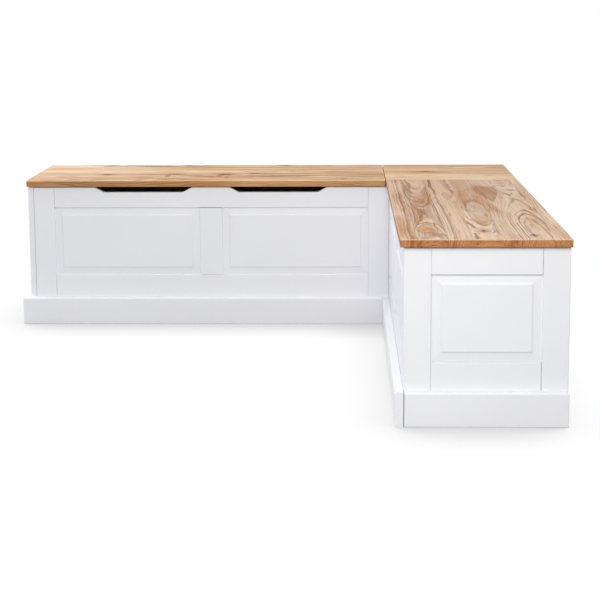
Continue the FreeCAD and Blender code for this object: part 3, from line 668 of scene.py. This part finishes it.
    ragged_rim, rim_fade = 0.32, 0.2
    for centre_across, centre_along, half_width, half_length, taper, *mark in figures:
        span, inside = oval_span((centre_across, centre_along),
                                 (1 / half_width, 1 / half_length, 1 / half_width), taper)
        span = sway(span, wobble, ragged_rim)
        if len(mark) == 2:
            tint, strength = mark
            patch = sums("MULTIPLY", step(span, 0.86, 1.08, before=strength, after=0.0),
                         step(bands, 0.3, 0.62, before=1.0, after=0.55))
            colour = blend(patch, colour, srgb(tint))
        else:
            first, last, strength = mark
            rings = add(tree, "ValToRGB", {"stops": [
                (0.0, black), (0.60, black), (0.67, (0.2, 0.2, 0.2, 1.0)), (0.74, black),
                (0.86, black), (0.93, white), (1.0, black)]}, {"Fac": span})
            reach = add(tree, "SeparateXYZ", {}, {0: inside}, 1)
            reach = sums("MULTIPLY", step(reach, first - rim_fade, first + rim_fade),
                         step(reach, last - rim_fade, last + rim_fade, before=1.0, after=0.0))
            rings = sums("MULTIPLY", sums("MULTIPLY", rings, reach), strength)
            colour = blend(rings, colour, line)
    for heart, tint in hearts:
        colour = blend(heart, colour, srgb(tint))
    grain = add(tree, "MapRange", {}, {"Value": fibre, "From Min": 0.3, "From Max": 0.7,
                                       "To Min": 0.86, "To Max": 1.1})
    colour = add(tree, "VectorMath", {"operation": "SCALE"}, {0: colour, "Scale": grain})
    mottle_depth = (0.06, 0.08, 0.09)
    mottle = add(tree, "VectorMath", {"operation": "SUBTRACT"}, {
        0: noise(40.0, 9.0, detail=1.0, shift=41.0)["Color"], 1: (0.5, 0.5, 0.5)})
    colour = add(tree, "VectorMath", {"operation": "MULTIPLY_ADD"}, {
        0: mottle, 1: mottle_depth, 2: colour})

    round_foot, round_top, glue_half = 0.0030, 0.0010, 0.0006
    normal = add(tree, "NewGeometry", {}, {}, "True Normal")
    facing = add(tree, "SeparateXYZ", {}, {0: normal}, run)
    sawn_end = add(tree, "MapRange", {}, {"Value": sums("ABSOLUTE", facing), "From Min": 0.6,
                                          "From Max": 0.8})
    side = step(height, size.z - round_foot, size.z - round_top, before=1.0, after=0.0)
    colour = blend(side, colour, blend(sawn_end, edge, end), "MULTIPLY")
    colour = blend(sums("MULTIPLY", sums("MULTIPLY", late, sawn_end), 0.5), colour, warm)
    # The rounded top arris is lightened: a paler sanded edge, and a painted highlight on it.
    arris_band = add(tree, "ValToRGB", {"stops": [
        (0.82, black), (0.88, white), (0.985, white), (0.998, black)]},
        {"Fac": sums("DIVIDE", height, size.z)})
    colour = blend(sums("MULTIPLY", arris_band, 0.6), colour, arris_highlight)

    stops = [(0.0, black)]
    for start in starts[1:]:
        stops += [(start - glue_half / width, white), (start + glue_half / width, black)]
    glue = add(tree, "ValToRGB", {"stops": stops}, {"Fac": share})
    glue.node.color_ramp.interpolation = "CONSTANT"
    colour = blend(sums("MULTIPLY", glue, 0.35), colour, line)
    tree.links.new(colour, shader.inputs["Base Color"])
    gloss = add(tree, "MapRange", {}, {"Value": fibre, "To Min": 0.54, "To Max": 0.74})
    tree.links.new(gloss, shader.inputs["Roughness"])
    bump = add(tree, "Bump", {}, {"Strength": 0.2, "Distance": 0.0003, "Height": fibre})
    tree.links.new(bump, shader.inputs["Normal"])
    return material


# light, middle, dark, warm, pale, late-wood line, multipliers of sides and sawn ends, and the
# paler arris with its painted highlight
pale_acacia = ("#E8BF94", "#D4A372", "#A7713F", "#C08440", "#F0D2B0", "#6E3F1A", "#E1CCB2",
               "#A68A6A", "#F2CDA4")
brown_acacia = ("#DBB898", "#C89F7C", "#98683C", "#B06C30", "#E9CFBB", "#683F20", "#D2BFA8",
                "#E0B488", "#E6BC92")

# width, pith across, pith depth, swing, turn along, period, tone, seed
corner_staves = [
    (0.076, 0.160, 0.030, 0.006, 0.20, 0.9, 1.00, 0.11),
    (0.058, 0.105, 0.040, 0.010, 0.10, 0.8, 0.90, 0.27),
    (0.084, 0.170, 0.050, 0.010, 0.30, 0.9, 0.75, 0.43),
    (0.069, 0.340, 0.030, 0.004, 0.20, 0.7, 0.45, 0.58),
    (0.061, 0.320, 0.060, 0.010, 0.10, 0.8, 0.55, 0.74),
    (0.063, 0.440, 0.050, 0.006, 0.30, 0.9, 0.45, 0.90)]
# across, along, radius
corner_knots = [(0.215, 0.138, 0.009)]
# across, along, half-width, half-length, taper, then colour and strength
corner_figures = [
    (0.080, 0.230, 0.085, 0.300, 0.0, "#F4D6AC", 0.5),
    (0.215, 0.165, 0.009, 0.045, 0.0, "#A0693A", 0.6),
    (0.070, 0.060, 0.009, 0.036, 0.0, "#A07C38", 0.6),
    (0.095, 0.340, 0.004, 0.085, 0.0, "#A8683A", 0.6),
    (0.300, 0.300, 0.008, 0.120, 0.0, "#A87440", 0.5)]
finish_nodes(timber("oiled_acacia_corner_top", "corner_top", "X", corner_staves, pale_acacia,
                    corner_knots, corner_figures), ["corner_top"])

left_lid_staves = [
    (0.062, 0.030, 0.040, 0.012, 0.30, 0.9, 0.50, 0.05),
    (0.074, 0.100, 0.035, 0.014, 0.75, 0.9, 0.60, 0.19),
    (0.058, 0.260, 0.050, 0.008, 0.20, 0.7, 0.50, 0.33),
    (0.081, 0.230, 0.040, 0.014, 0.60, 1.0, 0.65, 0.47),
    (0.066, 0.400, 0.040, 0.008, 0.90, 0.8, 0.55, 0.61),
    (0.079, 0.385, 0.045, 0.012, 0.40, 0.9, 0.60, 0.77)]
left_lid_knots = [
    (0.151, 0.240, 0.011), (0.154, 0.634, 0.015), (0.176, 0.725, 0.009), (0.168, 0.468, 0.008),
    (0.407, 0.215, 0.010), (0.404, 0.487, 0.009), (0.401, 0.822, 0.010), (0.033, 1.022, 0.007)]
left_lid_figures = [
    (0.240, 0.120, 0.200, 0.280, 0.0, "#F0DCCA", 0.22),
    (0.000, 0.120, 0.035, 0.260, 0.0, "#9C6A3C", 0.35),
    (0.000, 1.040, 0.035, 0.240, 0.0, "#F2D2A4", 0.35),
    (0.118, 0.444, 0.032, 0.010, 0.0, "#74441E", 0.8),
    (0.165, 0.462, 0.010, 0.024, 0.0, "#74441E", 0.7),
    (0.128, 0.618, 0.034, 0.011, 0.0, "#6A3C1A", 0.9),
    (0.078, 0.642, 0.026, 0.009, 0.0, "#7E4E26", 0.7),
    (0.083, 0.365, 0.012, 0.034, 0.0, "#9A6230", 0.65),
    (0.076, 0.705, 0.012, 0.024, 0.0, "#9A6230", 0.65),
    (0.112, 0.300, 0.010, 0.090, 0.0, "#B07B48", 0.5),
    (0.346, 0.780, 0.007, 0.190, 0.0, "#9C6230", 0.6),
    (0.176, 0.930, 0.008, 0.080, 0.0, "#9C6230", 0.6),
    (0.033, 1.025, 0.008, 0.050, 0.0, "#8A5426", 0.7),
    (0.180, 1.060, 0.060, 0.110, 0.0, "#C08550", 0.4),
    (0.300, 0.560, 0.050, 0.120, 0.0, "#D8BC84", 0.4)]
finish_nodes(timber("oiled_acacia_left_lid", "left_lid", "X", left_lid_staves, pale_acacia,
                    left_lid_knots, left_lid_figures), ["left_lid"])

right_lid_staves = [
    (0.041, 0.130, 0.030, 0.006, 0.55, 0.9, 0.45, 0.08),
    (0.076, 0.080, 0.040, 0.020, 0.42, 1.6, 0.50, 0.22),
    (0.066, 0.235, 0.030, 0.005, 0.10, 0.7, 0.50, 0.36),
    (0.067, 0.229, 0.120, -0.003, 0.45, 0.9, 0.60, 0.50),
    (0.099, 0.352, 0.036, -0.022, 0.12, 1.2, 0.65, 0.63),
    (0.041, 0.352, 0.036, -0.022, 0.12, 1.2, 0.75, 0.63),
    (0.030, 0.330, 0.060, 0.008, 0.50, 0.9, 0.80, 0.93)]
right_lid_knots = [(0.214, 0.122, 0.007)]
# as above, or in place of the colour where the rings along the rim start and end
right_lid_figures = [
    (0.291, 0.810, 0.028, 0.180, 0.85, "#A0661E", 0.95),
    (0.291, 0.810, 0.030, 0.185, 0.85, -9, 0.5, 0.6),
    (0.053, 0.830, 0.012, 0.190, 0.4, "#90692E", 0.75),
    (0.105, 0.740, 0.008, 0.120, 0.0, "#9C6C40", 0.6),
    (0.083, 0.600, 0.022, 0.090, 0.6, "#9E6C3A", 0.7),
    (0.080, 0.850, 0.036, 0.330, 0.0, -9, 0.3, 0.8),
    (0.083, 0.880, 0.015, 0.150, 0.0, "#DCC4AA", 0.4),
    (0.101, 0.430, 0.016, 0.160, 0.0, "#DCC8B4", 0.35),
    (0.080, 0.150, 0.037, 0.112, 0.0, 0.2, 9, 1.0),
    (0.074, 0.140, 0.025, 0.055, 0.0, "#B06A2C", 0.85),
    (0.074, 0.140, 0.028, 0.070, 0.0, -9, 9, 0.6),
    (0.008, 0.210, 0.013, 0.190, 0.0, "#B4743C", 0.75),
    (0.165, 0.760, 0.013, 0.085, 0.0, "#B06A3C", 0.65),
    (0.224, 0.990, 0.028, 0.250, 0.4, "#A8743F", 0.5),
    (0.229, 0.450, 0.031, 0.245, 0.0, -9, 9, 0.5),
    (0.229, 0.285, 0.026, 0.075, 0.0, "#B08C4A", 0.5),
    (0.230, 0.505, 0.026, 0.130, 0.0, "#DEC6AE", 0.6),
    (0.352, 0.205, 0.032, 0.220, 0.0, -0.4, 9, 0.95),
    (0.347, 0.170, 0.012, 0.062, 0.0, -0.4, 9, 0.8),
    (0.332, 0.055, 0.011, 0.020, 0.0, "#5E3028", 0.95),
    (0.100, 0.060, 0.020, 0.030, 0.0, "#8A5440", 0.6),
    (0.368, 0.885, 0.016, 0.016, 0.0, "#6E4A30", 0.7),
    (0.342, 0.930, 0.022, 0.070, 0.0, 0.2, 9, 0.8),
    (0.330, 0.570, 0.045, 0.150, 0.0, "#E4C4AE", 0.4),
    (0.300, 1.050, 0.040, 0.085, 0.0, "#DDBBA4", 0.5),
    (0.359, 0.478, 0.006, 0.024, 0.0, "#6B4526", 0.8),
    (0.117, 0.460, 0.003, 0.150, 0.0, "#6E4426", 0.7)]
finish_nodes(timber("oiled_acacia_right_lid", "right_lid", "Y", right_lid_staves, brown_acacia,
                    right_lid_knots, right_lid_figures), ["right_lid"])


# Screws up into the corner top and the lids: the same plated steel as behind, a little shorter
# than stick and top together. The heads sit in the undersides of cleats and battens.

for screws, sticks, body, length, inset_x, count_x, inset_y, count_y in (
        ("corner_top_screws", "corner_top_cleats", "carcass", 0.034, 0.010, 2, 0.060, 2),
        ("left_batten_screws", "left_lid_battens", "left_lid_assembly", 0.030,
         0.020, 3, 0.040, 2),
        ("right_batten_screws", "right_lid_battens", "right_lid_assembly", 0.030,
         0.040, 2, 0.020, 3)):
    low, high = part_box(sticks)
    places = [(x, y, low.z) for x in spread(low.x, high.x, inset_x, count_x)
              for y in spread(low.y, high.y, inset_y, count_y)]
    set_out(wood_screw(shank_radius=0.002, head_radius=0.004, length=length),
            [(180, 0, places)], "cross_head_" + screws, body, screws, yellow_zinc)


# Lid pads: self-adhesive domes of clear polyurethane, pressed on to the rail tops. They are
# slightly cloudy inside and have picked up a trace of yellow.

pad_low, pad_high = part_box("lid_bumpers")
pad_radius, pad_height, dome_round, pad_inset = 0.005, pad_high.z - pad_low.z, 0.0016, 0.090
bpy.ops.mesh.primitive_cylinder_add(vertices=36, radius=pad_radius, depth=pad_height,
                                    location=(0, 0, pad_height / 2))
pad = bpy.context.object
bpy.ops.object.transform_apply()
for edge in pad.data.edges:
    edge.select = all(pad.data.vertices[index].co.z > 0.9 * pad_height for index in edge.vertices)
for face in pad.data.polygons:
    face.select = face.normal.z > 0.9
bpy.ops.object.mode_set(mode="EDIT")
bpy.ops.mesh.bevel(offset=dome_round, segments=5, affect="EDGES")
bpy.ops.object.mode_set(mode="OBJECT")

haze_size = 1 / 300
polyurethane, tree, shader, place = start_material("clear_polyurethane", roughness=0.3)
shader.inputs["Transmission Weight"].default_value = 0.75
haze = add(tree, "TexNoise", {}, {"Vector": place, "Scale": 1 / haze_size, "Detail": 2.0})
colour = add(tree, "ValToRGB", {"stops": [(0.35, srgb("#EDEDE6")), (0.7, srgb("#DEDCCB"))]},
             {"Fac": haze})
tree.links.new(colour, shader.inputs["Base Color"])

front_low, front_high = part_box("left_front_top_rail")
side_low, side_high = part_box("right_side_top_rail")
left_pads = [(x, (front_low.y + front_high.y) / 2)
             for x in spread(left_floor_low.x, left_floor_high.x, pad_inset, 2)]
right_pads = [((side_low.x + side_high.x) / 2, y)
              for y in spread(right_floor_low.y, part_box("corner_top")[0].y, pad_inset, 2)]
pads = []
for spot in left_pads + right_pads:
    copy = bpy.data.objects.new("pad", pad.data.copy())
    bpy.context.collection.objects.link(copy)
    copy.location = (*spot, pad_low.z)
    pads.append(copy)
pads = join(pads)
bpy.ops.object.transform_apply()
bpy.ops.object.origin_set(type="ORIGIN_CURSOR")
bpy.ops.object.shade_smooth_by_angle(angle=smooth_limit)
pads.name = "domed_lid_pads"
pads.data.materials.append(polyurethane)
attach(pads, "carcass")
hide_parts("lid_bumpers")
bpy.data.objects.remove(pad, do_unlink=True)


# Butt hinges: pressed steel leaves rolled round a steel pin, three to each lid, bright zinc
# plated. Each leaf is held by three small screws, let in so that the heads lie flush.

finish_nodes(bright_zinc, [f"{side}_hinge_{part}" for side in ("left", "right")
                           for part in ("carcass_leaves", "lid_leaves", "pins")])

hinge_inset, screw_gap = 0.180, 0.026
low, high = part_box("left_lid")
left_rows = [(x + shift, back_face - half_board) for x in spread(low.x, high.x, hinge_inset, 3)
             for shift in (-screw_gap, 0, screw_gap)]
low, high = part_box("right_lid")
right_rows = [(wall_face - half_board, y + shift) for y in spread(low.y, high.y, hinge_inset, 3)
              for shift in (-screw_gap, 0, screw_gap)]
for side, rows in (("left", left_rows), ("right", right_rows)):
    for screws, body, turn in ((f"{side}_hinge_carcass_screws", "carcass", 0),
                               (f"{side}_hinge_lid_screws", f"{side}_lid_assembly", 180)):
        low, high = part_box(screws)
        heads = low.z if turn else high.z
        set_out(wood_screw(shank_radius=0.00175, head_radius=0.0033, length=0.015),
                [(turn, 0, [(*row, heads) for row in rows])],
                "cross_head_" + screws, body, screws, bright_zinc)


# The studio: a white floor, a pale room all round, and softboxes in front, at the left behind
# the chest and overhead. Floor and room show white to the camera. The floor darkens where the
# bench hides the open side of the studio from it, which is the soft shadow under the plinths.

def white_to_the_eye(tree):
    """1 for what the camera, a mirror or glass sees, 0 for the light that falls on things."""
    rays = add(tree, "LightPath", {}, {}).node.outputs
    seen = add(tree, "Math", {"operation": "MAXIMUM"},
               {0: rays["Is Camera Ray"], 1: rays["Is Glossy Ray"]})
    return add(tree, "Math", {"operation": "MAXIMUM"}, {0: seen, 1: rays["Is Transmission Ray"]})


floor_size, floor_white = 60.0, 1.015
shadow_reach, shadow_depth, shadow_lean = 0.25, 0.70, (0.15, 0.74, 0.65)
bpy.ops.mesh.primitive_plane_add(size=floor_size)
floor = bpy.context.object
floor.name = "studio_floor"
material = bpy.data.materials.new("white_studio_floor")
material.use_nodes = True
tree = material.node_tree
tree.nodes.remove(tree.nodes["Principled BSDF"])
bounce = add(tree, "BsdfDiffuse", {}, {"Color": srgb("#BABABE")})
lean = add(tree, "CombineXYZ", {}, dict(enumerate(shadow_lean)))
openness = add(tree, "AmbientOcclusion", {"samples": 16},
               {"Distance": shadow_reach, "Normal": lean}, "AO")
hidden = add(tree, "Math", {"operation": "SUBTRACT"}, {0: 1.0, 1: openness})
hidden = add(tree, "Math", {"operation": "MULTIPLY"}, {0: hidden, 1: hidden})
shown = add(tree, "Math", {"operation": "MULTIPLY_ADD"},
            {0: hidden, 1: -shadow_depth, 2: floor_white})
shown = add(tree, "Emission", {}, {"Strength": shown})
surface = add(tree, "MixShader", {}, {0: white_to_the_eye(tree), 1: bounce, 2: shown})
tree.links.new(surface, tree.nodes["Material Output"].inputs["Surface"])
floor.data.materials.append(material)

world = bpy.data.worlds.new("pale_room")
bpy.context.scene.world = world
world.use_nodes = True
tree = world.node_tree
room = add(tree, "Background", {}, {"Color": srgb("#FAFCFF"), "Strength": 0.585})
white = add(tree, "Background", {}, {"Color": srgb("#FFFFFF"), "Strength": 1.0})
surface = add(tree, "MixShader", {}, {0: white_to_the_eye(tree), 1: room, 2: white})
tree.links.new(surface, tree.nodes["World Output"].inputs["Surface"])

for name, place, target, side, power, colour in (
        ("front_softbox", (0.1, -2.6, 1.7), (0.2, 0.0, 0.2), 1.2, 33.8, "#FFFEF3"),
        ("left_softbox", (-2.2, 0.9, 1.6), (0.3, -0.3, 0.2), 1.5, 30.6, "#FFFFFF"),
        ("overhead_softbox", (-0.3, -0.1, 2.6), (-0.3, 0.0, 0.2), 1.0, 7.3, "#FFFFFF")):
    bpy.ops.object.light_add(type="AREA", location=place)
    lamp = bpy.context.object
    lamp.name = name
    lamp.data.shape = "SQUARE"
    lamp.data.size = side
    lamp.data.energy = power
    lamp.data.color = srgb(colour)[:3]
    lamp.rotation_euler = (Vector(target) - Vector(place)).to_track_quat("-Z", "Y").to_euler()


# The camera stands where the photograph was taken from. Its place, turn, lens and shift were
# fitted to the edges of both chests, and it looks down by 8.5 degrees.

camera_place, camera_turn = (0.2358, -4.2602, 1.0631), (81.505, 0.315, 1.639)
bpy.ops.object.camera_add(location=camera_place)
camera = bpy.context.object
camera.rotation_euler = [math.radians(angle) for angle in camera_turn]
camera.data.lens = 87.1
camera.data.sensor_width = 36.0
camera.data.shift_y = -0.15
bpy.context.scene.camera = camera
bpy.context.scene.view_settings.view_transform = "Standard"
